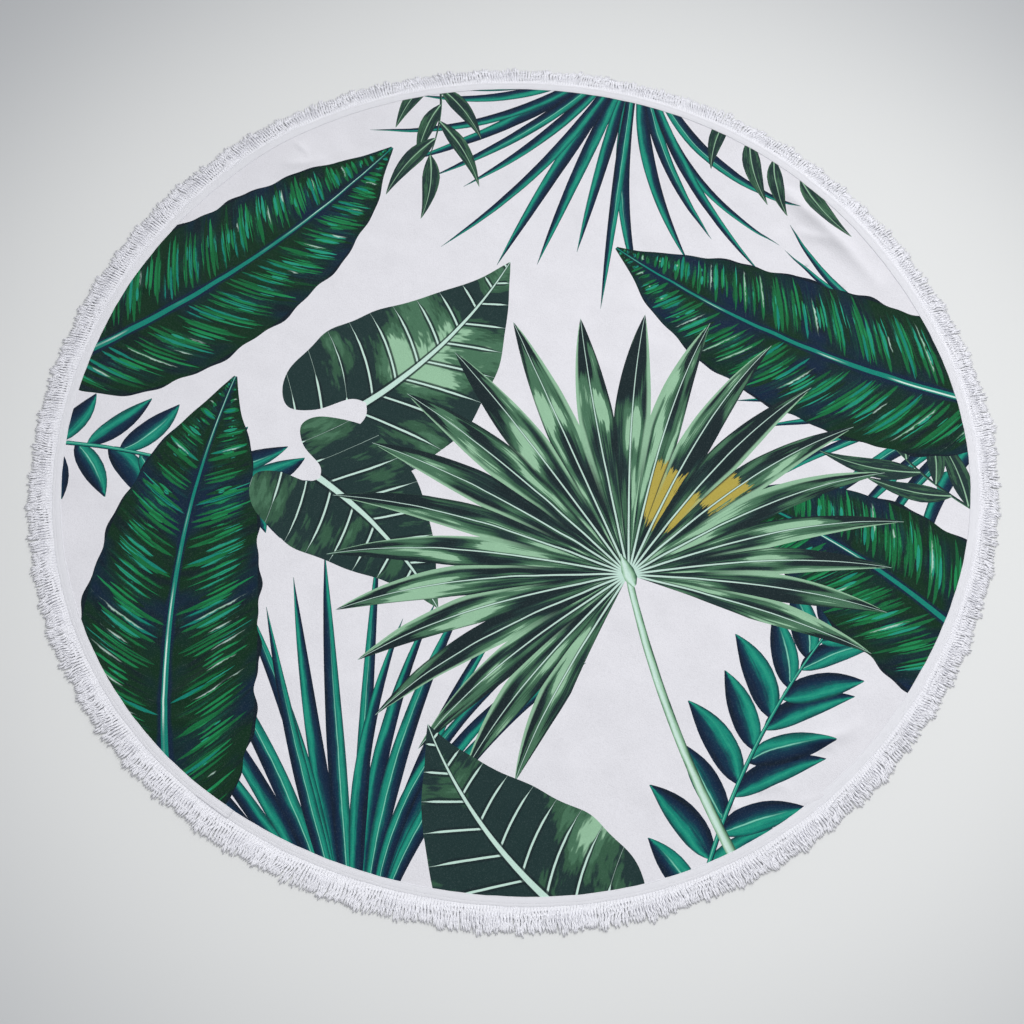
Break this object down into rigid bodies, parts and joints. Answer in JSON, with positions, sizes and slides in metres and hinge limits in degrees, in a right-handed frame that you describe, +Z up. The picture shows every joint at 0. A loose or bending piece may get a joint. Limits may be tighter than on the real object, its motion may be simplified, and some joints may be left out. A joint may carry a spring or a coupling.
{
  "type": "round beach towel",
  "caption": "Large round pile towel laid out flat with a few soft creases, a flat heading tape sewn over its rim and a dense cord fringe all round.",
  "frame": {"origin": "middle of the towel's flat underside, on the surface it lies on", "axes": "+Z up out of the printed face; -Y towards the side nearest the viewer, +X to the viewer's right"},
  "size_m": [1.5038, 1.5011, 0.0099],
  "materials": {
    "printed_pile": "short sheared pile, printed with green foliage on white; the other side plain white loops",
    "woven_tape": "matt plain weave, two rows of stitching",
    "fringe_cord": "soft twisted cotton cords, off-white"
  },
  "bodies": {
    "root": {"towel_cloth": "printed_pile", "heading_tape": "woven_tape", "fringe_comb": "fringe_cord"}
  },
  "joints": []
}
